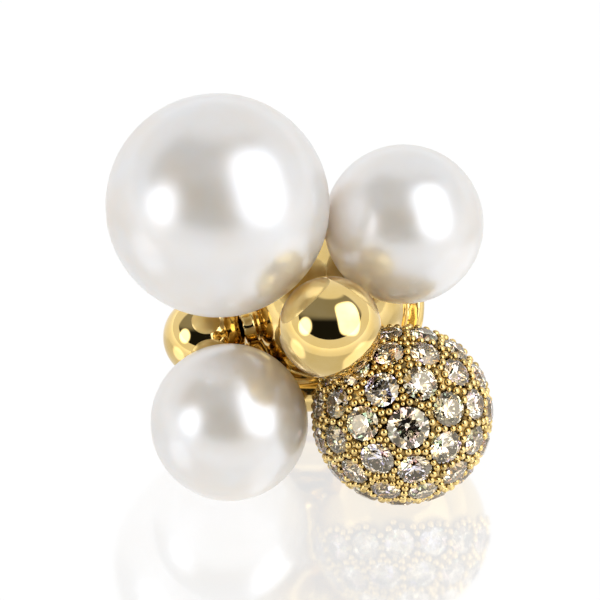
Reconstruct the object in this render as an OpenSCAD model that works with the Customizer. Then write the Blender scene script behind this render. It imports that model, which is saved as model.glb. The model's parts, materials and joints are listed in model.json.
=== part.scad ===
// Pearl cluster stud earring for the left side.
// The cluster is laid out upright, facing -Y, with the ear post along +Y from the origin.
// The whole stud then leans back until it rests on two of its balls and the tip of the post.
// All sizes are in millimetres and degrees.

/* [Large pearl] */
// Diameter of the large pearl
large_d = 12; // [11.6:0.05:12.1]
// How far the large pearl stands to the right of the post
large_x = -4.35; // [-4.6:0.05:-4.3]
// How far the large pearl's centre stands in front of the ear
large_out = 6.2; // [6:0.05:6.4]
// How far the large pearl stands above the post
large_z = 3.75; // [3.6:0.05:3.9]

/* [Upper pearl] */
// Diameter of the upper pearl
upper_d = 8.6; // [8.2:0.05:8.7]
// How far the upper pearl stands to the right of the post
upper_x = 5.65; // [5.6:0.05:5.9]
// How far the upper pearl's centre stands in front of the ear
upper_out = 3.5; // [3.3:0.05:3.7]
// How far the upper pearl stands above the post
upper_z = 2.35; // [2.2:0.05:2.5]

/* [Lower pearl] */
// Diameter of the lower pearl
lower_d = 8.5; // [8.2:0.05:8.55]
// How far the lower pearl stands to the right of the post
lower_x = -3.75; // [-4.1:0.05:-3.75]
// How far the lower pearl's centre stands in front of the ear
lower_out = 4.45; // [4.4:0.05:4.7]
// How far the lower pearl stands above the post
lower_z = -8.3; // [-8.6:0.05:-8.25]

/* [Gold balls] */
// Diameter of the front ball
front_d = 5.5; // [5.2:0.05:5.6]
// How far the front ball stands to the right of the post
front_x = 1.65; // [1.5:0.05:1.75]
// How far the front ball's centre stands in front of the ear
front_out = 8.9; // [8.85:0.05:9.3]
// How far the front ball stands above the post
front_z = -2.45; // [-2.5:0.05:-2.2]
// Diameter of the side ball
side_d = 4.5; // [4.2:0.05:4.55]
// How far the side ball stands to the right of the post
side_x = -5.15; // [-5.4:0.05:-5.1]
// How far the side ball's centre stands in front of the ear
side_out = -0.75; // [-0.95:0.05:-0.7]
// How far the side ball stands above the post
side_z = -4.45; // [-4.55:0.05:-4.3]

/* [Stone-set ball] */
// Diameter of the ball's metal surface
pave_d = 9.44; // [9.2:0.02:9.5]
// Thickness of the ball's wall
pave_wall = 0.85; // [0.75:0.05:0.95]
// How far the ball stands to the right of the post
pave_x = 5.55; // [5.5:0.05:5.8]
// How far the ball's centre stands in front of the ear
pave_out = 4.6; // [4.5:0.05:4.65]
// How far the middle stone is turned to the right
pave_turn = 3.5; // [0:0.5:6]
// Diameter of the gold beads between the stones
bead_d = 0.4; // [0.34:0.02:0.42]

/* [Frame] */
// Diameter of the round plate at the back
plate_d = 10.4; // [10.2:0.1:10.6]
// Diameter of the domed hub
hub_d = 8.4; // [8.2:0.05:8.6]
// How far the hub stands to the right of the post
hub_x = 1.65; // [1.5:0.05:1.8]
// How far the hub stands above the post
hub_z = -2.8; // [-3:0.05:-2.6]
// Width of the arms
arm_w = 2.4; // [2.2:0.1:2.5]
// Thickness of the arms
arm_t = 1; // [0.9:0.05:1.2]
// Diameter of the pegs in the pearls and balls
peg_d = 1; // [0.9:0.05:1.1]

/* [Ear post] */
// Diameter of the post
post_d = 0.85; // [0.8:0.05:0.95]
// Length of the post's straight part
post_length = 9.8; // [9.4:0.1:10.2]

/* [Hidden] */
$fn = 64;
// Clearance between a ball and the metal that cradles it
seat_gap = 0.1;
// Clearance round a peg in its hole, taken up by cement
peg_gap = 0.08;

// Each ball: across, in front of the ear, above the post, radius
large = [large_x, large_out, large_z, large_d / 2];
upper = [upper_x, upper_out, upper_z, upper_d / 2];
lower = [lower_x, lower_out, lower_z, lower_d / 2];
front = [front_x, front_out, front_z, front_d / 2];
side = [side_x, side_out, side_z, side_d / 2];

// Levels in front of the ear, from the back of the plate and the arms to the hub's widest circle
arm_back = -1.9;
arm_front = arm_back + arm_t;
hub_out = -0.8;
hub_r = hub_d / 2;
plate_r = plate_d / 2;
plate_bevel = 0.3;

// Ear post with a short bevel at its tip, and the foot that it is soldered to
post_r = post_d / 2;
tip_length = 0.4;
tip_r = 0.25;
post_end = -arm_back + post_length + tip_length;
foot_r = 0.8;
foot_top_r = post_r + 0.1;
foot_h = 0.45;

// The stud leans back until the lower pearl and the tip of the post both reach the floor
tip_dy = post_end + lower_out;
tip_dz = -tip_r - lower_z;
tip_reach = sqrt(tip_dy * tip_dy + tip_dz * tip_dz);
lean = acos(-lower[3] / tip_reach) - atan2(tip_dy, tip_dz);

// Height of a point above the leaning stud's origin, and its distance behind it
function height(out, z) = out * sin(lean) + z * cos(lean);
function behind(out, z) = z * sin(lean) - out * cos(lean);

// The stone-set ball is set at the height where it touches the same floor as the lower pearl
floor_z = height(lower_out, lower_z) - lower[3];
pave_r = pave_d / 2;
pave_z = (floor_z + pave_r - pave_out * sin(lean)) / cos(lean);
pave = [pave_x, pave_out, pave_z, pave_r];

// Outermost points of the leaning stud, which put its origin under the middle of it
balls = [large, upper, lower, front, side, pave];
low_x = min([for (b = balls) b[0] - b[3]]);
high_x = max([for (b = balls) b[0] + b[3]]);
low_y = min([for (b = balls) behind(b[1], b[2]) - b[3]]);
high_y = behind(-post_end, tip_r);

// Rings of stones: angle from the middle stone, number, angle of the first, diameter
stone_rings = [
    [0, 1, 0, 2.3],
    [31, 7, 22, 1.9],
    [55.5, 12, 14, 1.7],
    [78.5, 15, 4, 1.62]
];
stones = [for (ring = stone_rings, k = [0:ring[1] - 1]) [ring[0], ring[2] + 360 * k / ring[1], ring[3]]];

// Cut of a stone, as shares of its diameter
table_share = 0.56;
crown_share = 0.15;
girdle_share = 0.03;
pavilion_share = 0.42;
stone_sides = 16;
// How far the girdle's lower edge lies under the ball's surface, and the gap round a stone
girdle_sink = 0.1;
stone_gap = 0.05;
// Hole behind each stone, as a share of its diameter
back_hole_share = 0.3;
// How far the seats are cut past the wall's inside and outside
cut_inside = 0.5;
cut_outside = 1;
// Turn of the stone-set ball's spheres, which puts their seam on its bare back
seam_turn = 45;

// Gold beads stand beside the gap between two neighbours in a ring, inwards and outwards of it.
// Each is set as near to that gap as its full size allows, or else where it can be largest.
bead_shifts = [5:1:14];
bead_room = 0.03;
bead_least = 0.13;
// Least distance between two beads, in bead diameters
bead_spacing = 1.25;
last_ring = len(stone_rings) - 1;
function facing(polar, turn) = [sin(polar) * cos(turn), sin(polar) * sin(turn), cos(polar)];
function arc(a, b) = acos(min(1, facing(a[0], a[1]) * facing(b[0], b[1]))) * PI / 180 * pave_r;
function room(place) = min([for (s = stones) arc(place, s) - s[2] / 2 - stone_gap]);
function bead(i, k, way) =
    let (
        turn = stone_rings[i][2] + 360 * (k + 0.5) / stone_rings[i][1],
        places = [for (shift = bead_shifts) [stone_rings[i][0] + way * shift, turn]],
        sizes = [for (p = places) min(bead_d / 2, room(p) - bead_room)],
        best = search(max(sizes), sizes)[0]
    )
    [places[best][0], turn, sizes[best]];
all_beads = [for (i = [1:last_ring], way = [-1, 1], k = [0:stone_rings[i][1] - 1]) bead(i, k, way)];
function nearest_bead(i) = min([for (k = [0:i - 1]) arc(all_beads[i], all_beads[k])]);
function alone(i) = i == 0 || nearest_bead(i) > bead_spacing * bead_d;
beads = [for (i = [0:len(all_beads) - 1]) if (all_beads[i][2] > bead_least && alone(i)) all_beads[i]];

// Places
module at(x, out, z) {
    translate([x, -out, z]) children();
}
module at_ball(b) {
    at(b[0], b[1], b[2]) children();
}
// Turns a shape that stands on +Z so that it points out of the ear
module outwards() {
    rotate([90, 0, 0]) children();
}
// Puts the upright stud at rest on the floor
module resting() {
    translate([-(low_x + high_x) / 2, -(low_y + high_y) / 2, -floor_z])
        rotate([-lean, 0, 0])
            children();
}

// The arms end in round knuckles, whose cups lean outwards to the balls
knuckle_r = 1.3;
knuckle_out = (arm_back + arm_front) / 2;
function foot(b, share) = [hub_x + share * (b[0] - hub_x), knuckle_out, hub_z + share * (b[2] - hub_z)];
upper_share = 0.85;
lower_share = 0.7;
large_foot = foot(large, upper_share);
upper_foot = foot(upper, upper_share);
lower_foot = foot(lower, lower_share);
pave_foot = foot(pave, lower_share);
front_foot = [front_x, hub_out, front_z];
side_foot = [hub_x, side_out, hub_z];

// Cups: foot, ball, radius of the rim
cups = [
    [large_foot, large, 2.7],
    [upper_foot, upper, 2],
    [lower_foot, lower, 2],
    [pave_foot, pave, 2.1]
];
cup_root_r = 1;
side_arm_r = 0.95;
// The bar between the two lower cups: its level, how far it runs below their feet, and its radius
bar_out = 0.8;
bar_drop = 0.6;
bar_r = 1.2;
bar_from = [lower_foot[0], bar_out, lower_foot[2] - bar_drop];
bar_to = [pave_foot[0], bar_out, pave_foot[2] - bar_drop];
// Radius of the neck at the hub and at the front ball
neck_root_r = 2.4;
neck_top_r = 1.1;
// The arm between the two upper knuckles runs a little below their middles
tie_drop = 0.35;
// How far one soldered piece runs into the next
weld = 0.4;
// How deep the pegs and their holes reach past a ball's back, as a share of the ball's radius
peg_share = 0.8;
hole_share = 0.95;
// Where the drill starts, in ball radii from the ball's middle
drill_start = 1.5;

// Turns a shape that stands on +Z so that it starts at one point and looks towards another
module along(from, to) {
    run = [to[0] - from[0], from[1] - to[1], to[2] - from[2]];
    at(from[0], from[1], from[2])
        rotate([0, acos(run[2] / norm(run)), atan2(run[1], run[0])])
            children();
}
function span(from, to) = norm([for (i = [0:2]) to[i] - from[i]]);

module arm(from, to) {
    angle = atan2(to[2] - from[2], to[0] - from[0]);
    at(from[0], arm_front, from[2])
        rotate([0, -angle, 0])
            translate([0, 0, -arm_w / 2])
                cube([span([from[0], 0, from[2]], [to[0], 0, to[2]]), arm_t, arm_w]);
}
module knuckle(foot) {
    at(foot[0], foot[1], foot[2]) sphere(r = knuckle_r);
}
module cup(foot, b, rim_r) {
    along(foot, b)
        cylinder(h = span(foot, b) - sqrt(b[3] * b[3] - rim_r * rim_r), r1 = cup_root_r, r2 = rim_r);
}
module peg(foot, b) {
    along(foot, b)
        cylinder(h = span(foot, b) - b[3] * (1 - peg_share), d = peg_d, $fn = 32);
}
module plate() {
    at(hub_x, arm_back, hub_z)
        outwards()
            rotate_extrude()
                polygon([
                    [0, 0],
                    [plate_r - plate_bevel, 0],
                    [plate_r, plate_bevel],
                    [plate_r, arm_t - plate_bevel],
                    [plate_r - plate_bevel, arm_t],
                    [0, arm_t]
                ]);
}
// The hub is domed in front and flat at the back
module hub() {
    intersection() {
        at(hub_x, hub_out, hub_z) sphere(r = hub_r);
        at(hub_x, arm_back, hub_z) outwards() cylinder(h = 2 * hub_r, r = plate_r);
    }
}
// Neck between the hub and the front ball
module neck() {
    along(front_foot, front)
        cylinder(h = span(front_foot, front) - front_d / 2 + weld, r1 = neck_root_r, r2 = neck_top_r);
}
module side_arm() {
    along(side_foot, side)
        cylinder(h = span(side_foot, side) - side_d / 2 + weld, r = side_arm_r, $fn = 48);
}
module bar() {
    along(bar_from, bar_to) cylinder(h = span(bar_from, bar_to), r = bar_r, $fn = 48);
}
module ear_post() {
    at(0, arm_back + weld, 0)
        rotate([-90, 0, 0]) {
            cylinder(h = weld + foot_h, r1 = foot_r + weld, r2 = foot_top_r, $fn = 48);
            cylinder(h = weld + post_length, r = post_r, $fn = 48);
            translate([0, 0, weld + post_length])
                cylinder(h = tip_length, r1 = post_r, r2 = tip_r, $fn = 48);
        }
}

module peg_frame() {
    color("gold") resting() {
        difference() {
            union() {
                plate();
                hub();
                neck();
                side_arm();
                bar();
                for (c = cups) {
                    knuckle(c[0]);
                    cup(c[0], c[1], c[2]);
                    arm([hub_x, knuckle_out, hub_z], c[0]);
                }
                arm(large_foot - [0, 0, tie_drop], upper_foot - [0, 0, tie_drop]);
            }
            for (b = balls) at_ball(b) sphere(r = b[3] + seat_gap);
        }
        for (c = cups) peg(c[0], c[1]);
        peg(front_foot, front);
        peg(side_foot, side);
        ear_post();
    }
}

// A hole from a ball's back towards its middle, for the peg
module peg_hole(foot, b) {
    along(foot, b)
        translate([0, 0, span(foot, b) - drill_start * b[3]])
            cylinder(h = (drill_start - 1 + hole_share) * b[3], r = peg_d / 2 + peg_gap, $fn = 32);
}
module drilled_ball(foot, b) {
    difference() {
        at_ball(b) sphere(r = b[3]);
        peg_hole(foot, b);
    }
}
module pearl_large() {
    color("ivory") resting() drilled_ball(large_foot, large);
}
module pearl_upper() {
    color("ivory") resting() drilled_ball(upper_foot, upper);
}
module pearl_lower() {
    color("ivory") resting() drilled_ball(lower_foot, lower);
}
module gold_ball_front() {
    color("gold") resting() drilled_ball(front_foot, front);
}
module gold_ball_side() {
    color("gold") resting() drilled_ball(side_foot, side);
}

// Puts a shape that stands on +Z on the stone-set ball, in the direction given
module on_pave(polar, turn) {
    at_ball(pave)
        rotate([0, 0, pave_turn])
            outwards()
                rotate([0, polar, turn])
                    children();
}
module seat(d) {
    hole_r = back_hole_share * d / 2;
    top_r = d / 2 + stone_gap;
    bottom = pave_r - pave_wall - cut_inside;
    top = pave_r + cut_outside;
    girdle = pave_r - girdle_sink - stone_gap;
    cone_h = pavilion_share * d * (top_r - hole_r) / top_r;
    rotate_extrude($fn = 32)
        polygon([
            [0, bottom],
            [hole_r, bottom],
            [hole_r, girdle - cone_h],
            [top_r, girdle],
            [top_r, top],
            [0, top]
        ]);
}
module pave_sphere(r) {
    at_ball(pave) rotate([0, 0, seam_turn]) sphere(r = r);
}
module pave_ball() {
    color("gold") resting() difference() {
        union() {
            pave_sphere(pave_r);
            for (b = beads) on_pave(b[0], b[1]) translate([0, 0, pave_r]) sphere(r = b[2], $fn = 24);
        }
        pave_sphere(pave_r - pave_wall);
        for (s = stones) on_pave(s[0], s[1]) seat(s[2]);
        peg_hole(pave_foot, pave);
    }
}

// Round cut stone: point, two girdle rings, table, with the girdle's lower ring at the height given
module stone(d) {
    n = stone_sides;
    r = d / 2;
    low = [for (k = [0:n - 1]) [r * cos(360 * k / n), r * sin(360 * k / n), 0]];
    high = [for (p = low) [p[0], p[1], girdle_share * d]];
    table = [
        for (k = [0:n / 2 - 1])
            [
                table_share * r * cos(720 * k / n),
                table_share * r * sin(720 * k / n),
                (girdle_share + crown_share) * d
            ]
    ];
    points = concat([[0, 0, -pavilion_share * d]], low, high, table);
    pavilion = [for (k = [0:n - 1]) [0, 1 + k, 1 + (k + 1) % n]];
    girdle = [for (k = [0:n - 1]) [1 + k, 1 + n + k, 1 + n + (k + 1) % n, 1 + (k + 1) % n]];
    kites = [
        for (k = [0:n / 2 - 1], face = [
            [1 + 2 * n + k, 1 + n + (2 * k + 1) % n, 1 + n + 2 * k],
            [1 + 2 * n + k, 1 + 2 * n + (k + 1) % (n / 2), 1 + n + (2 * k + 1) % n],
            [1 + 2 * n + (k + 1) % (n / 2), 1 + n + (2 * k + 2) % n, 1 + n + (2 * k + 1) % n]
        ]) face
    ];
    top = [[for (k = [n / 2 - 1:-1:0]) 1 + 2 * n + k]];
    polyhedron(points = points, faces = concat(pavilion, girdle, kites, top));
}
module pave_stones() {
    color("white")
        resting()
            for (s = stones) on_pave(s[0], s[1]) translate([0, 0, pave_r - girdle_sink]) stone(s[2]);
}

peg_frame();
pearl_large();
pearl_upper();
pearl_lower();
gold_ball_front();
gold_ball_side();
pave_ball();
pave_stones();
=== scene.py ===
# Looks of the pearl cluster stud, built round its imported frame
import json
import math
import random

import bmesh
import bpy
import numpy as np
from mathutils import Matrix, Vector
from mathutils.geometry import delaunay_2d_cdt


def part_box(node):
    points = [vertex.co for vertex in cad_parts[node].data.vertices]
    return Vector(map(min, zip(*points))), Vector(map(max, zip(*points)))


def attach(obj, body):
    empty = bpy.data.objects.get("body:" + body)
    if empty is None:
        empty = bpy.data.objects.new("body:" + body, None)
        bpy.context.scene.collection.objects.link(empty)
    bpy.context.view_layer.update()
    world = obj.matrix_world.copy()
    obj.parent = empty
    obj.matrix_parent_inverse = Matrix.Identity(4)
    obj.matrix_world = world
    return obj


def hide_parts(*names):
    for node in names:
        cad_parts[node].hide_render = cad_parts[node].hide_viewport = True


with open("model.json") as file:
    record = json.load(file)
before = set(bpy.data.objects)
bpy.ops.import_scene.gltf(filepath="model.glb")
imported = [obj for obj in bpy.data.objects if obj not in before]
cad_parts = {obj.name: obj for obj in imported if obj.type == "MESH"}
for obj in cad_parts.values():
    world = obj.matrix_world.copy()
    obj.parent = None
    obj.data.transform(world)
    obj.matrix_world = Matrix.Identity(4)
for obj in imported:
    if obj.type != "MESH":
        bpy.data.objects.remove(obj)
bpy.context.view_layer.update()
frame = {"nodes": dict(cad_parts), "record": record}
mm = 0.001
print("frame loaded")

# The view: the cluster leans back on its post, and the camera looks a little down on its face
view = {
    "aboveFace": math.radians(8.5),
    "distance": 450 * mm,
    "share": 0.68,              # of the picture's side that the cluster fills
    "sensor": 36,               # in mm
    "clip": (10 * mm, 5),       # the nearest and the farthest that the camera sees
}
post = frame["record"]["mounts"][0]
elevation = math.asin(-post["axis"][2]) + view["aboveFace"]
right = Vector((1, 0, 0))
up = Vector((0, math.sin(elevation), math.cos(elevation)))
back = Vector((0, -math.cos(elevation), math.sin(elevation)))


def nodePoints(node):
    # Places of a node's vertices, each once
    points = np.array([v.co for v in frame["nodes"][node].data.vertices])
    return np.unique(points.round(8), axis=0)


def makeCamera():
    points = np.concatenate([nodePoints(node) for node in frame["nodes"]])
    middle = Vector((0, 0, 0))
    sides = []
    for axis in (right, up, back):
        along = points @ np.array(axis)
        middle += axis * (along.min() + along.max()) / 2
        sides.append(along.max() - along.min())
    data = bpy.data.cameras.new("camera")
    data.sensor_width = view["sensor"]
    # The longer side of the cluster fills its share of the picture
    data.lens = view["sensor"] * view["distance"] * view["share"] / max(sides[:2])
    data.clip_start, data.clip_end = view["clip"]
    camera = bpy.data.objects.new("camera", data)
    camera.location = middle + back * view["distance"]
    camera.rotation_euler = back.to_track_quat("Z", "Y").to_euler()
    bpy.context.scene.collection.objects.link(camera)
    bpy.context.scene.camera = camera


makeCamera()
print("camera placed")


# Materials

def newMaterial(name, values):
    material = bpy.data.materials.new(name)
    material.use_nodes = True
    tree = material.node_tree
    shader = tree.nodes["Principled BSDF"]
    for socket, value in values.items():
        shader.inputs[socket].default_value = value
    return material, tree, shader


def noiseOf(tree, size, detail=3.0):
    # Noise whose features have the size given
    place = tree.nodes.new("ShaderNodeTexCoord")
    scale = tree.nodes.new("ShaderNodeMapping")
    scale.inputs["Scale"].default_value = [1 / size] * 3
    noise = tree.nodes.new("ShaderNodeTexNoise")
    noise.inputs["Scale"].default_value = 1
    noise.inputs["Detail"].default_value = detail
    tree.links.new(place.outputs["Object"], scale.inputs["Vector"])
    tree.links.new(scale.outputs["Vector"], noise.inputs["Vector"])
    return noise.outputs["Fac"]


noiseRange = (0.3, 0.7)     # most of a noise lies between these


def spread(tree, value, low, high):
    # Maps a noise to a range
    ranged = tree.nodes.new("ShaderNodeMapRange")
    tree.links.new(value, ranged.inputs["Value"])
    ranged.inputs["From Min"].default_value, ranged.inputs["From Max"].default_value = noiseRange
    ranged.inputs["To Min"].default_value = low
    ranged.inputs["To Max"].default_value = high
    return ranged.outputs["Result"]


def blendOf(tree, factor, first, second):
    mix = tree.nodes.new("ShaderNodeMix")
    mix.data_type = "RGBA"
    mix.inputs["A"].default_value = (*first, 1)
    mix.inputs["B"].default_value = (*second, 1)
    tree.links.new(factor, mix.inputs["Factor"])
    return mix.outputs["Result"]


def bumpOf(tree, height, depth):
    bump = tree.nodes.new("ShaderNodeBump")
    bump.inputs["Distance"].default_value = depth
    tree.links.new(height, bump.inputs["Height"])
    return bump.outputs["Normal"]


nacre = {
    "warm": (0.94, 0.82, 0.70),
    "cool": (0.94, 0.88, 0.83),
    "patch": 3.0 * mm,
    "grain": 0.6 * mm,
    "grainDetail": 4,
    "grainDepth": 0.0006 * mm,
    "roughness": (0.30, 0.33),
}


def pearlNacre():
    material, tree, shader = newMaterial("pearlNacre", {
        "IOR": 4.0,
        "Specular Tint": (0.84, 0.895, 1.0, 1),
        "Coat Weight": 0.3,
        "Coat Roughness": 0.2,
        "Coat IOR": 1.5,
        "Subsurface Weight": 1.0,
        "Subsurface Radius": (1.0, 0.9, 0.8),
        "Subsurface Scale": 3.0 * mm,
    })
    patches = spread(tree, noiseOf(tree, nacre["patch"]), 0, 1)
    colour = blendOf(tree, patches, nacre["warm"], nacre["cool"])
    tree.links.new(colour, shader.inputs["Base Color"])
    grain = noiseOf(tree, nacre["grain"], nacre["grainDetail"])
    tree.links.new(spread(tree, grain, *nacre["roughness"]), shader.inputs["Roughness"])
    tree.links.new(bumpOf(tree, grain, nacre["grainDepth"]), shader.inputs["Normal"])
    return material


gold = {
    "pale": (0.80, 0.60, 0.26),
    "deep": (0.76, 0.54, 0.19),
    # the dark colour of the painted shade in recesses, and of some grains' random tone
    "paintedShadeAndTone": (0.12, 0.07, 0.018),
    "patch": 1.2 * mm,
    "rippleDetail": 5,
    "mirrorGold": {"roughness": (0.02, 0.05), "ripple": 0.9 * mm, "depth": 0.002 * mm},
    "frameGold": {"roughness": (0.07, 0.13), "ripple": 0.9 * mm, "depth": 0.002 * mm},
    "paveGold": {"roughness": (0.06, 0.14), "ripple": 0.12 * mm, "depth": 0.004 * mm},
}


def polishedGold(name):
    polish = gold[name]
    material, tree, shader = newMaterial(name, {"Metallic": 1, "IOR": 1.5})
    patches = spread(tree, noiseOf(tree, gold["patch"]), 0, 1)
    colour = blendOf(tree, patches, gold["pale"], gold["deep"])
    tree.links.new(colour, shader.inputs["Base Color"])
    wear = noiseOf(tree, polish["ripple"], gold["rippleDetail"])
    tree.links.new(spread(tree, wear, *polish["roughness"]), shader.inputs["Roughness"])
    tree.links.new(bumpOf(tree, wear, polish["depth"]), shader.inputs["Normal"])
    return material


def paintShadeAndTone(material):
    # Painted shade: darkens the recesses of a gold, and some pavé grains by a random tone, as far as the
    # mesh's attribute says
    tree = material.node_tree
    base = tree.nodes["Principled BSDF"].inputs["Base Color"]
    polished = base.links[0].from_socket
    paintedShadeAndTone = tree.nodes.new("ShaderNodeAttribute")
    paintedShadeAndTone.attribute_name = "paintedShadeAndTone"
    mix = tree.nodes.new("ShaderNodeMix")
    mix.data_type = "RGBA"
    mix.inputs["B"].default_value = (*gold["paintedShadeAndTone"], 1)
    tree.links.new(polished, mix.inputs["A"])
    tree.links.new(paintedShadeAndTone.outputs["Fac"], mix.inputs["Factor"])
    tree.links.new(mix.outputs["Result"], base)
    return material


def cutStone():
    material, tree, shader = newMaterial("cutStone", {
        "Roughness": 0.0,
        "IOR": 2.4,
        "Specular Tint": (1.0, 0.88, 0.68, 1),
        "Transmission Weight": 1,
    })
    # The facets' painted reflections, shade and fire tint the stone
    tint = tree.nodes.new("ShaderNodeAttribute")
    tint.attribute_name = "facetTintAndPaintedLight"
    tree.links.new(tint.outputs["Color"], shader.inputs["Base Color"])
    return material


pearlLook = pearlNacre()
ballLook = polishedGold("mirrorGold")
frameLook = paintShadeAndTone(polishedGold("frameGold"))
paveLook = paintShadeAndTone(polishedGold("paveGold"))
stoneLook = cutStone()
print("materials made")


# Shapes

sharpAngle = math.radians(35)       # facets that meet at more stay sharp


def makePiece(name, points, faces, material, node, smooth=True):
    mesh = bpy.data.meshes.new(name)
    mesh.from_pydata([tuple(p) for p in points], [], faces)
    work = bmesh.new()
    work.from_mesh(mesh)
    bmesh.ops.recalc_face_normals(work, faces=work.faces)
    work.to_mesh(mesh)
    work.free()
    mesh.materials.append(material)
    mesh.polygons.foreach_set("use_smooth", [smooth] * len(mesh.polygons))
    if smooth:
        mesh.set_sharp_from_angle(angle=sharpAngle)
    piece = bpy.data.objects.new(name, mesh)
    bpy.context.scene.collection.objects.link(piece)
    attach(piece, "root")
    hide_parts(node)
    return piece


def darken(piece, paintedShadeAndTone):
    # Tells the gold's look how dark the metal is painted at each point: painted shade in its recesses,
    # and a random tone on some grains
    layer = piece.data.attributes.new("paintedShadeAndTone", "FLOAT", "POINT")
    layer.data.foreach_set("value", paintedShadeAndTone)


def crossAxes(axis):
    # Two directions square to an axis and to each other
    other = Vector((1, 0, 0)) if abs(axis.x) < 0.7 else Vector((0, 1, 0))
    first = axis.cross(other).normalized()
    return first, axis.cross(first).normalized()


def spin(profile, origin, axis, segments):
    # Turns a profile of (distance from the axis, height along it) into points and faces
    first, second = crossAxes(axis)
    points, rows = [], []
    for radius, height in profile:
        row = []
        for k in range(segments if radius > 0 else 1):
            turn = 2 * math.pi * k / segments
            reach = first * math.cos(turn) + second * math.sin(turn)
            row.append(len(points))
            points.append(origin + axis * height + reach * radius)
        rows.append(row)
    faces = []
    for low, high in zip(rows, rows[1:]):
        for k in range(segments):
            n = (k + 1) % segments
            if len(low) == 1:
                faces.append((low[0], high[n], high[k]))
            elif len(high) == 1:
                faces.append((low[k], low[n], high[0]))
            else:
                faces.append((low[k], low[n], high[n], high[k]))
    return points, faces


def ballOf(node):
    low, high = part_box(node)
    return (low + high) / 2, max(high - low) / 2


framePoints = nodePoints("peg_frame")

drill = {
    "radius": 0.58 * mm,
    "depth": 0.95,      # of the ball's radius
    "point": 0.3,       # of the hole's radius, the drill's point beyond its wall
    "pegTip": 0.5,      # of the ball's radius, within which only its own peg lies
    "chamfer": 0.06 * mm,
    "segments": 160,
    "rings": 110,
}


def pegAxis(centre, radius):
    # From a ball's middle towards the peg that comes into it
    apart = framePoints - np.array(centre)
    tip = apart[np.linalg.norm(apart, axis=1) < radius * drill["pegTip"]]
    return Vector(tip.mean(axis=0)).normalized()


def drilledBall(name, node, material):
    centre, radius = ballOf(node)
    axis = pegAxis(centre, radius)
    wall = drill["radius"]
    rim = wall + drill["chamfer"]
    start = math.asin(rim / radius)
    bottom = radius * (1 - drill["depth"])
    top = radius * math.cos(start) - drill["chamfer"]
    profile = [(0, bottom - wall * drill["point"]), (wall, bottom), (wall, top)]
    for k in range(drill["rings"]):
        angle = start + (math.pi - start) * k / drill["rings"]
        profile.append((radius * math.sin(angle), radius * math.cos(angle)))
    profile.append((0, -radius))
    points, faces = spin(profile, centre, axis, drill["segments"])
    makePiece(name, points, faces, material, node)


drilledBall("largePearl", "pearl_large", pearlLook)
drilledBall("upperPearl", "pearl_upper", pearlLook)
drilledBall("lowerPearl", "pearl_lower", pearlLook)
drilledBall("frontBall", "gold_ball_front", ballLook)
drilledBall("sideBall", "gold_ball_side", ballLook)
print("pearls and balls made")


# The frame's soldered joints flow into each other: its solid is remeshed finely and smoothed

fillets = {
    "voxel": 0.092,     # in mm
    "passes": 14,
    "factor": 0.5,
    "post": (0.5, 1.5),     # of the post's radius, between which its points lie
}
# Painted shade on the frame next to the pearls and balls
paintedRecessShade = {"reach": 1.4 * mm, "darkest": 0.2}


def roundPost(points):
    # Puts the post's points back on its true round
    axis = np.array(post["axis"])
    radius, half = post["dims"]["r_mm"] * mm, post["dims"]["length_mm"] * mm / 2
    apart = points - np.array(post["pos_m"])
    height = apart @ axis
    aside = apart - np.outer(height, axis)
    reach = np.linalg.norm(aside, axis=1)
    near, far = fillets["post"]
    found = (reach > near * radius) & (reach < far * radius) & (np.abs(height) < half)
    points[found] += aside[found] * (radius / reach[found] - 1)[:, None]


def paintedRecessShadeOf(points):
    # Painted shade: the metal is darker the nearer it lies to a pearl or a ball, where less light reaches
    # it
    nearest = np.full(len(points), paintedRecessShade["reach"])
    for node in frame["nodes"]:
        if node in ("peg_frame", "pave_stones"):
            continue
        centre, radius = ballOf(node)
        nearest = np.minimum(nearest, np.linalg.norm(points - np.array(centre), axis=1) - radius)
    return paintedRecessShade["darkest"] * (1 - np.clip(nearest / paintedRecessShade["reach"], 0, 1))


def looseParts(work):
    # A mesh's vertices, grouped by the solid that they belong to
    parts, seen = [], set()
    for vertex in work.verts:
        if vertex in seen:
            continue
        part, fresh = [], [vertex]
        seen.add(vertex)
        while fresh:
            here = fresh.pop()
            part.append(here)
            for edge in here.link_edges:
                other = edge.other_vert(here)
                if other not in seen:
                    seen.add(other)
                    fresh.append(other)
        parts.append(part)
    return parts


def filletedFrame():
    mesh = frame["nodes"]["peg_frame"].data.copy()
    mesh.transform(Matrix.Scale(1 / mm, 4))     # the remesh takes no voxel this small in metres
    work = bpy.data.objects.new("work", mesh)
    bpy.context.scene.collection.objects.link(work)
    even = work.modifiers.new("even", "REMESH")
    even.mode = "VOXEL"
    even.voxel_size = fillets["voxel"]
    flow = work.modifiers.new("flow", "SMOOTH")
    flow.factor = fillets["factor"]
    flow.iterations = fillets["passes"]
    done = bmesh.new()
    done.from_mesh(work.evaluated_get(bpy.context.evaluated_depsgraph_get()).to_mesh())
    parts = sorted(looseParts(done), key=len)
    specks = [vertex for part in parts[:-1] for vertex in part]     # left over by the remesh
    bmesh.ops.delete(done, geom=specks, context="VERTS")
    done.verts.index_update()
    points = np.array([v.co * mm for v in done.verts])
    faces = [tuple(v.index for v in face.verts) for face in done.faces]
    done.free()
    bpy.data.objects.remove(work)
    roundPost(points)
    piece = makePiece("pegFrame", points, faces, frameLook, "peg_frame")
    darken(piece, paintedRecessShadeOf(points))
    print("frame faces:", len(faces))


filletedFrame()
print("frame made")


# The stone-set ball: a drilled hollow ball with a seat for each stone, and gold beads between them

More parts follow.
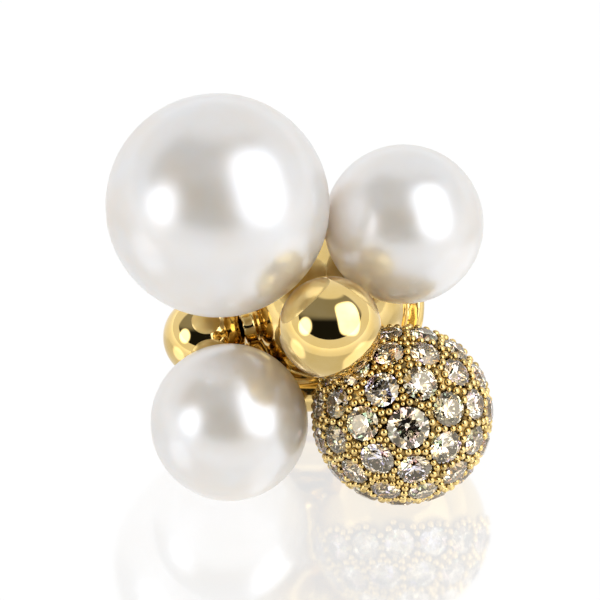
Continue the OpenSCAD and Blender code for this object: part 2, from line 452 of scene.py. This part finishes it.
paveBall = {
    "wall": 0.85 * mm,
    "stoneGap": 0.05 * mm,
    "rimChamfer": 0.05 * mm,
    "seatDepth": 0.04 * mm,
    "backHole": 0.3,            # of a stone's diameter
    "pavilion": 0.42,           # of a stone's diameter
    "seatSegments": 48,
    "opening": 0.996,           # of a hole's radius, within which faces are left out
    "spacing": 0.17 * mm,       # between the points of its outer skin
    "insideSpacing": 0.6 * mm,
    "cell": 0.87,               # of the spacing squared, the area that each point has
    "margin": 0.45,             # of the spacing, kept clear round an opening
    "beadLift": 0.12 * mm,      # what stands this far out of the skin is part of a bead
    "beadSize": 0.2 * mm,
    "beadReach": 0.4 * mm,      # points nearer to each other than this are of one bead
    "skinPaintedShade": 1.0,           # painted shade on the skin between the stones and inside the ball: 0 is polished, 1 is dark
    "bare": 0.7 * mm,           # this far from a stone the painted shade has faded and the skin is polished
    # painted shade on the seat walls and on the beads' feet
    "seatPaintedShade": 0.3,
    "footPaintedShade": 0.9,
    "grainOxides": [0.0, 0.0, 0.0, 0.1, 0.4],      # some grains are brighter than others
}

grains = {
    "largest": 0.22 * mm,
    "smallest": 0.11 * mm,
    "edge": -0.06 * mm,         # added to a stone's radius, so that grains reach over its edge
    "field": 0.45 * mm,         # grains stand no further from a stone
    "packing": 1.12,            # of a grain's radius, which leaves a gap between neighbours where the skin's painted shade shows
    "search": 0.05 * mm,        # between the places that are tried
}

# How wide a bead's foot is, how deep it is sunk and how high its stem stands are shares of its size
beadDome = {"steps": 6, "segments": 20, "foot": 1.15, "sunk": 0.5, "stem": 0.1}
grainDome = {"steps": 4, "segments": 12, "foot": 1.05, "sunk": 0.5, "stem": 0.1}

samePoint = 0.001 * mm
sameFlatPoint = 1e-9
onGirdle = 0.99         # of a stone's radius


def stoneParts():
    # Each stone of the frame's field, as its own points
    work = bmesh.new()
    work.from_mesh(frame["nodes"]["pave_stones"].data)
    bmesh.ops.remove_doubles(work, verts=work.verts, dist=samePoint)
    parts = [np.array([vertex.co[:] for vertex in part]) for part in looseParts(work)]
    work.free()
    return parts


def meetingPoint(parts):
    # Where the stones' own axes meet, which is the middle of their ball
    pull, total = np.zeros((3, 3)), np.zeros(3)
    for part in parts:
        middle = part.mean(axis=0)
        axis = np.linalg.svd(part - middle)[2][2]
        across = np.eye(3) - np.outer(axis, axis)
        pull += across
        total += across @ middle
    return Vector(np.linalg.solve(pull, total))


def measureStone(part, centre):
    apart = part - np.array(centre)
    axis = Vector(apart.mean(axis=0)).normalized()
    heights = apart @ np.array(axis)
    aside = apart - np.outer(heights, np.array(axis))
    reach = np.linalg.norm(aside, axis=1)
    return {
        "axis": axis,
        "radius": reach.max(),
        "girdle": heights[reach > onGirdle * reach.max()].min(),
        "first": Vector(aside[heights.argmax()]).normalized(),
    }


def beadAxes(centre, radius):
    # The frame's beads, found by what stands out of its ball
    apart = nodePoints("pave_ball") - np.array(centre)
    proud = apart[np.linalg.norm(apart, axis=1) > radius + paveBall["beadLift"]]
    groups = []
    for point in proud:
        for group in groups:
            if np.linalg.norm(group[0] - point) < paveBall["beadReach"]:
                group.append(point)
                break
        else:
            groups.append([point])
    return [Vector(np.mean(group, axis=0)).normalized() for group in groups]


def evenPoints(radius, spacing):
    # Directions spread evenly over a ball
    count = int(4 * math.pi * radius ** 2 / (paveBall["cell"] * spacing ** 2))
    golden = math.pi * (3 - math.sqrt(5))
    for k in range(count):
        z = 1 - (2 * k + 1) / count
        across = math.sqrt(1 - z * z)
        yield Vector((across * math.cos(golden * k), across * math.sin(golden * k), z))


def waysRound(opening):
    # Directions from an opening's axis to the points of its rim
    side = opening["axis"].cross(opening["first"])
    turns = [2 * math.pi * k / paveBall["seatSegments"] for k in range(paveBall["seatSegments"])]
    return [opening["first"] * math.cos(turn) + side * math.sin(turn) for turn in turns]


def drilledSkin(radius, openings, spacing):
    # A ball's skin with round openings, in triangles that are found on a flat map of the ball, which
    # is spread out from the last opening
    pole = openings[-1]["axis"]
    first, second = crossAxes(pole)
    flat, edges, loops = [], [], []

    def flatten(way):
        flat.append(Vector((way.dot(first), way.dot(second))) / (1 - way.dot(pole)))

    for opening in openings:
        angle = math.asin(opening["radius"] / radius)
        base, count = len(flat), paveBall["seatSegments"]
        for k, reach in enumerate(waysRound(opening)):
            flatten(opening["axis"] * math.cos(angle) + reach * math.sin(angle))
            edges.append((base + k, base + (k + 1) % count))
        loops.append(list(range(base, base + count)))
    axes = np.array([o["axis"] for o in openings])
    angles = np.array([math.asin(o["radius"] / radius) for o in openings])
    margin = paveBall["margin"] * spacing / radius
    for way in evenPoints(radius, spacing):
        if (axes @ np.array(way) < np.cos(angles + margin)).all():
            flatten(way)
    places, _, faces, sources, _, _ = delaunay_2d_cdt(flat, edges, [], 0, sameFlatPoint)
    ways = []
    for place in places:
        square = place.length_squared
        ways.append((pole * (square - 1) + first * (2 * place.x) + second * (2 * place.y)) / (square + 1))
    kept = []
    for face in faces:
        middle = sum((ways[k] for k in face), Vector()).normalized()
        if (axes @ np.array(middle) < np.cos(angles * paveBall["opening"])).all():
            kept.append(face)
    placeOf = {source: k for k, found in enumerate(sources) for source in found}
    return ways, kept, [[placeOf[k] for k in loop] for loop in loops]


def grainPlaces(radius, stones, beads, pegWay):
    # Small gold grains that fill the metal between stones and beads, each as large as its place allows
    ways = np.array(list(evenPoints(radius, grains["search"])))
    room = np.full(len(ways), np.inf)

    def keepClear(axis, reach):
        apart = np.arccos(np.clip(ways @ np.array(axis), -1, 1)) * radius - reach
        np.minimum(room, apart, out=room)

    for stone in stones:
        keepClear(stone["axis"], stone["radius"] + grains["edge"])
    room[room > grains["field"]] = 0
    keepClear(pegWay, drill["radius"] + grains["edge"])
    for way in beads:
        keepClear(way, paveBall["beadSize"])
    found = []
    while room.max() >= grains["smallest"]:
        # A place that just holds the largest grain comes first, then the largest that is left
        best = np.where(room >= grains["largest"], 1 - room, room).argmax()
        size = min(room[best], grains["largest"])
        found.append((Vector(ways[best]), size))
        keepClear(ways[best], size * grains["packing"])
    return found


def skinShade(ways, radius, stones):
    # Painted shade: the skin is dark between the stones, where little light reaches, and polished on the
    # bare back
    axes = np.array([stone["axis"] for stone in stones])
    reaches = np.array([stone["radius"] for stone in stones])
    apart = np.arccos(np.clip(np.array(ways) @ axes.T, -1, 1)) * radius - reaches
    share = np.clip(apart.min(axis=1) / paveBall["bare"], 0, 1)
    return list(paveBall["skinPaintedShade"] * (1 - share ** 2))


def seatShapes(radius, stones, pegWay):
    # Each seat's rim on the outer skin, its hole on the inner one, and the rows of its wall between them
    outer, holes, walls = [], [], []
    for stone in stones:
        top = stone["radius"] + paveBall["stoneGap"]
        rim = top + paveBall["rimChamfer"]
        hole = paveBall["backHole"] * stone["radius"]
        highest = math.sqrt(radius ** 2 - rim ** 2) - paveBall["seatDepth"]
        level = min(stone["girdle"] - paveBall["stoneGap"], highest)
        cone = paveBall["pavilion"] * 2 * stone["radius"] * (top - hole) / top
        outer.append({"axis": stone["axis"], "first": stone["first"], "radius": rim})
        holes.append({"axis": stone["axis"], "first": stone["first"], "radius": hole})
        walls.append([(top, level), (hole, level - cone)])
    pegHole = {"axis": pegWay, "first": crossAxes(pegWay)[0], "radius": drill["radius"]}
    return outer + [pegHole], holes + [pegHole], walls + [[]]


def domeProfile(radius, size, dome):
    # A domed bead, sunk into a ball's skin
    foot, base = dome["foot"] * size, radius - dome["sunk"] * size
    profile = [(0, base), (foot, base), (foot, radius)]
    for k in range(dome["steps"]):
        angle = math.pi / 2 * k / dome["steps"]
        height = dome["stem"] + (1 - dome["stem"]) * math.sin(angle)
        profile.append((size * math.cos(angle), radius + size * height))
    return profile + [(0, radius + size)]


def makePaveBall(centre, radius, stones, beads):
    inside = radius - paveBall["wall"]
    count = paveBall["seatSegments"]
    pegWay = pegAxis(centre, radius)
    outer, holes, walls = seatShapes(radius, stones, pegWay)
    outerWays, outerFaces, outerLoops = drilledSkin(radius, outer, paveBall["spacing"])
    innerWays, innerFaces, innerLoops = drilledSkin(inside, holes, paveBall["insideSpacing"])
    points = [centre + way * radius for way in outerWays]
    shift = len(points)
    points += [centre + way * inside for way in innerWays]
    # Painted shade: the skin darkens between the stones, and the inside of the ball is dark
    paintedShadeAndTone = skinShade(outerWays, radius, stones) + [paveBall["skinPaintedShade"]] * len(innerWays)
    faces = [tuple(face) for face in outerFaces]
    faces += [tuple(shift + k for k in face) for face in innerFaces]
    for opening, wall, outerLoop, innerLoop in zip(outer, walls, outerLoops, innerLoops):
        rows = [outerLoop]
        for reach, height in wall:
            rows.append(list(range(len(points), len(points) + count)))
            points += [centre + opening["axis"] * height + out * reach for out in waysRound(opening)]
            # Painted shade on the seat's wall
            paintedShadeAndTone += [paveBall["seatPaintedShade"]] * count
        rows.append([shift + k for k in innerLoop])
        for low, high in zip(rows, rows[1:]):
            for k in range(count):
                n = (k + 1) % count
                faces.append((low[k], low[n], high[n], high[k]))
    small = grainPlaces(radius, stones, beads, pegWay)
    domes = [(beadDome, way, paveBall["beadSize"], 0.0) for way in beads]
    domes += [(grainDome, way, size, draw.choice(paveBall["grainOxides"])) for way, size in small]
    for dome, way, size, topOxide in domes:
        start = len(points)
        domePoints, domeFaces = spin(domeProfile(radius, size, dome), centre, way, dome["segments"])
        points += domePoints
        faces += [tuple(start + k for k in face) for face in domeFaces]
        dark = 1 + 3 * dome["segments"]     # painted shade on the middle of the foot and the three lowest rows
        paintedShadeAndTone += [paveBall["footPaintedShade"]] * dark + [topOxide] * (len(domePoints) - dark)
    piece = makePiece("paveBall", points, faces, paveLook, "pave_ball")
    darken(piece, paintedShadeAndTone)
    print("beads:", len(beads), "and grains:", len(small))


# The stones: full brilliant cuts

cut = {
    "table": 0.56,          # shares of the girdle's radius
    "starPoint": 0.77,
    "lowerPoint": 0.24,
    "crown": 0.30,
    "girdle": 0.06,
    "pavilion": 0.84,
}

# Colours painted on the facets, with how often: clear, a painted reflection of the gold and painted shade
# as seen through the stone, and painted fire
clear, seenGold, seenShade = (1.0, 0.94, 0.80), (1.0, 0.74, 0.34), (0.24, 0.13, 0.04)
warm = (1.0, 0.86, 0.62)
lilac, violet, rose, green = (0.88, 0.84, 1.0), (0.70, 0.55, 1.0), (1.0, 0.52, 0.42), (0.60, 0.95, 0.50)
facetTintAndPaintedLight = {
    "table": [(warm, 4), (lilac, 1)],
    "crown": [(clear, 5), (seenGold, 5), (seenShade, 3), (lilac, 1), (violet, 1), (rose, 2), (green, 1)],
    "pavilion": [(clear, 5), (seenGold, 4), (seenShade, 2), (lilac, 1), (violet, 1), (rose, 1)],
}


def brilliant():
    # Points and facets of a brilliant cut of radius 1, with the girdle's lower edge at height 0
    half = math.pi / 8

    def ring(radius, height, shift=0):
        turns = [2 * half * k + shift for k in range(8)]
        return [Vector((radius * math.cos(turn), radius * math.sin(turn), height)) for turn in turns]

    edge, top = cut["girdle"], cut["girdle"] + cut["crown"]
    starHeight = edge + cut["crown"] * (1 - cut["starPoint"] * math.cos(half)) / (1 - cut["table"])
    deepHeight = -cut["pavilion"] * (1 - cut["lowerPoint"] * math.cos(half))
    points = ring(cut["table"], top) + ring(cut["starPoint"], starHeight, half)
    points += ring(1, edge) + ring(1, edge, half) + ring(1, 0) + ring(1, 0, half)
    points += ring(cut["lowerPoint"], deepHeight, half) + [Vector((0, 0, -cut["pavilion"]))]
    table, star, upper, upperMid, lower, lowerMid, deep, culet = range(0, 64, 8)
    facets = [tuple(range(8))]
    kinds = ["table"] + (["crown"] * 4 + ["pavilion"] * 5) * 8
    for k in range(8):
        n, b = (k + 1) % 8, (k - 1) % 8
        facets += [
            (table + k, star + k, table + n),
            (table + k, star + b, upper + k, star + k),
            (star + k, upper + k, upperMid + k),
            (star + k, upperMid + k, upper + n),
            (upper + k, lower + k, lowerMid + k, upperMid + k),
            (upperMid + k, lowerMid + k, lower + n, upper + n),
            (lower + k, deep + k, lowerMid + k),
            (lowerMid + k, deep + k, lower + n),
            (lower + k, deep + b, culet, deep + k),
        ]
    return points, facets, kinds


def makePaveStones(centre, stones):
    shape, facets, kinds = brilliant()
    points, faces = [], []
    for stone in stones:
        base = len(points)
        side = stone["axis"].cross(stone["first"])
        girdle = centre + stone["axis"] * stone["girdle"]
        for p in shape:
            place = stone["first"] * p.x + side * p.y + stone["axis"] * p.z
            points.append(girdle + place * stone["radius"])
        faces += [tuple(base + k for k in facet) for facet in facets]
    piece = makePiece("paveStones", points, faces, stoneLook, "pave_stones", smooth=False)
    # Painted reflections, shade and fire, as a tint on each facet
    layer = piece.data.color_attributes.new("facetTintAndPaintedLight", "FLOAT_COLOR", "CORNER")
    for polygon, kind in zip(piece.data.polygons, kinds * len(stones)):
        colour = draw.choices(*zip(*facetTintAndPaintedLight[kind]))[0]
        for corner in polygon.loop_indices:
            layer.data[corner].color = (*colour, 1)


draw = random.Random(7)
parts = stoneParts()
paveCentre = meetingPoint(parts)
paveRadius = paveCentre.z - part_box("pave_ball")[0].z
stones = [measureStone(part, paveCentre) for part in parts]
beads = beadAxes(paveCentre, paveRadius)
makePaveBall(paveCentre, paveRadius, stones, beads)
makePaveStones(paveCentre, stones)
print("stone-set ball made:", len(stones), "stones,", len(beads), "beads")


# Floor, light and world

# A glossy light table, so that the stud throws hardly any shadow and is faintly mirrored
floorLook = newMaterial("floor", {
    "Base Color": (0.12, 0.12, 0.12, 1),
    "Roughness": 0.08,
    "IOR": 3.0,
    "Emission Color": (1, 1, 1, 1),
    "Emission Strength": 0.70,
})[0]


def makeFloor(reach):
    mesh = bpy.data.meshes.new("floor")
    corners = [(-reach, -reach, 0), (reach, -reach, 0), (reach, reach, 0), (-reach, reach, 0)]
    mesh.from_pydata(corners, [], [(0, 1, 2, 3)])
    mesh.materials.append(floorLook)
    floor = bpy.data.objects.new("floor", mesh)
    bpy.context.scene.collection.objects.link(floor)


makeFloor(3)

# Two lamps that show as highlights, and a fill that reaches the pearls' body between them
lamps = {
    "softboxRight": {"turn": 44, "rise": 19, "width": 56, "height": 74, "radiance": 2.8, "roundness": 4},
    "softboxLeft": {"turn": -56, "rise": 3, "width": 38, "height": 40, "radiance": 3.0, "roundness": 2},
    "fill": {"turn": 0, "rise": 15, "width": 70, "height": 70, "radiance": 0.95, "roundness": 4},
}
lightDistance = 350 * mm
fadeStart = 0.35        # 0 is a lamp's middle, 1 its edge


def mathOf(tree, operation, *values):
    # A calculation on numbers and other nodes' values
    node = tree.nodes.new("ShaderNodeMath")
    node.operation = operation
    for socket, value in zip(node.inputs, values):
        if isinstance(value, (int, float)):
            socket.default_value = value
        else:
            tree.links.new(value, socket)
    return node.outputs["Value"]


def stepOf(tree, value, low, high):
    # 0 before the low value and 1 after the high one
    step = tree.nodes.new("ShaderNodeMapRange")
    step.interpolation_type = "SMOOTHSTEP"
    tree.links.new(value, step.inputs["Value"])
    step.inputs["From Min"].default_value = low
    step.inputs["From Max"].default_value = high
    return step.outputs["Result"]


def softEdges(data, roundness):
    # The light fades towards its rounded edges, as cloth over a lamp does
    data.use_nodes = True
    tree = data.node_tree
    place = tree.nodes.new("ShaderNodeNewGeometry").outputs["Parametric"]
    parts = tree.nodes.new("ShaderNodeSeparateXYZ")
    tree.links.new(place, parts.inputs["Vector"])
    powers = []
    for axis in "XY":
        offset = mathOf(tree, "MULTIPLY_ADD", parts.outputs[axis], 2.0, -1.0)
        powers.append(mathOf(tree, "POWER", mathOf(tree, "ABSOLUTE", offset), roundness))
    faded = stepOf(tree, mathOf(tree, "ADD", *powers), fadeStart, 1.0)
    tree.links.new(mathOf(tree, "SUBTRACT", 1, faded), tree.nodes["Emission"].inputs["Strength"])


def makeLamp(name, place):
    # Turn and rise are seen from the camera's line, width and height are angles
    turn, rise = math.radians(place["turn"]), math.radians(place["rise"])
    toLight = (right * math.sin(turn) + back * math.cos(turn)) * math.cos(rise) + up * math.sin(rise)
    data = bpy.data.lights.new(name, "AREA")
    data.shape = "RECTANGLE"
    data.size = 2 * lightDistance * math.tan(math.radians(place["width"] / 2))
    data.size_y = 2 * lightDistance * math.tan(math.radians(place["height"] / 2))
    data.energy = place["radiance"] * math.pi * data.size * data.size_y
    softEdges(data, place["roundness"])
    light = bpy.data.objects.new(name, data)
    light.location = toLight * lightDistance
    side = up.cross(toLight).normalized()
    above = toLight.cross(side)
    light.matrix_world = Matrix((
        (side.x, above.x, toLight.x, light.location.x),
        (side.y, above.y, toLight.y, light.location.y),
        (side.z, above.z, toLight.z, light.location.z),
        (0, 0, 0, 1),
    ))
    # The fill lights only what is matt, and the softboxes are only mirrored
    light.visible_camera = False
    light.visible_diffuse = name == "fill"
    light.visible_glossy = name != "fill"
    light.visible_transmission = name != "fill"
    bpy.context.scene.collection.objects.link(light)


for lampName, lampPlace in lamps.items():
    makeLamp(lampName, lampPlace)

bpy.context.scene.view_settings.view_transform = "Standard"

# The studio round the stud: white walls, ceiling and low card, and a dark side with the camera in it
studio = {
    "white": 1.0,
    "dim": 0.32,                # upper part of the dark side
    "dark": 0.012,              # round the camera
    "card": (19.8, 21.0),       # where the card ends, in degrees above the floor
    "sides": (80, 88),          # where the dark side ends, in degrees to each side of the camera's line
    "darkTop": (12, 28),        # where its upper part starts, in degrees above that line
    "ceiling": (63, 71),
}


def makeStudio():
    world = bpy.data.worlds.new("studio")
    bpy.context.scene.world = world
    world.use_nodes = True
    tree = world.node_tree
    way = tree.nodes.new("ShaderNodeTexCoord").outputs["Generated"]

    def along(axis):
        dot = tree.nodes.new("ShaderNodeVectorMath")
        dot.operation = "DOT_PRODUCT"
        tree.links.new(way, dot.inputs[0])
        dot.inputs[1].default_value = axis
        return dot.outputs["Value"]

    def past(value, name):
        # 0 before an edge of the studio and 1 past it
        return stepOf(tree, value, *[math.radians(angle) for angle in studio[name]])

    turn = mathOf(tree, "ABSOLUTE", mathOf(tree, "ARCTAN2", along(right), along(back)))
    rise = mathOf(tree, "ARCSINE", along(up))
    height = mathOf(tree, "ARCSINE", along(Vector((0, 0, 1))))
    shade = past(height, "card")
    for value, name in ((turn, "sides"), (rise, "ceiling")):
        shade = mathOf(tree, "MULTIPLY", shade, mathOf(tree, "SUBTRACT", 1, past(value, name)))
    lift = studio["dim"] - studio["dark"]
    dim = mathOf(tree, "MULTIPLY_ADD", past(rise, "darkTop"), lift, studio["dark"])
    less = mathOf(tree, "SUBTRACT", dim, studio["white"])
    level = mathOf(tree, "MULTIPLY_ADD", shade, less, studio["white"])
    background = tree.nodes["Background"]
    background.inputs["Color"].default_value = (1, 1, 1, 1)
    tree.links.new(level, background.inputs["Strength"])


makeStudio()
print("light made")
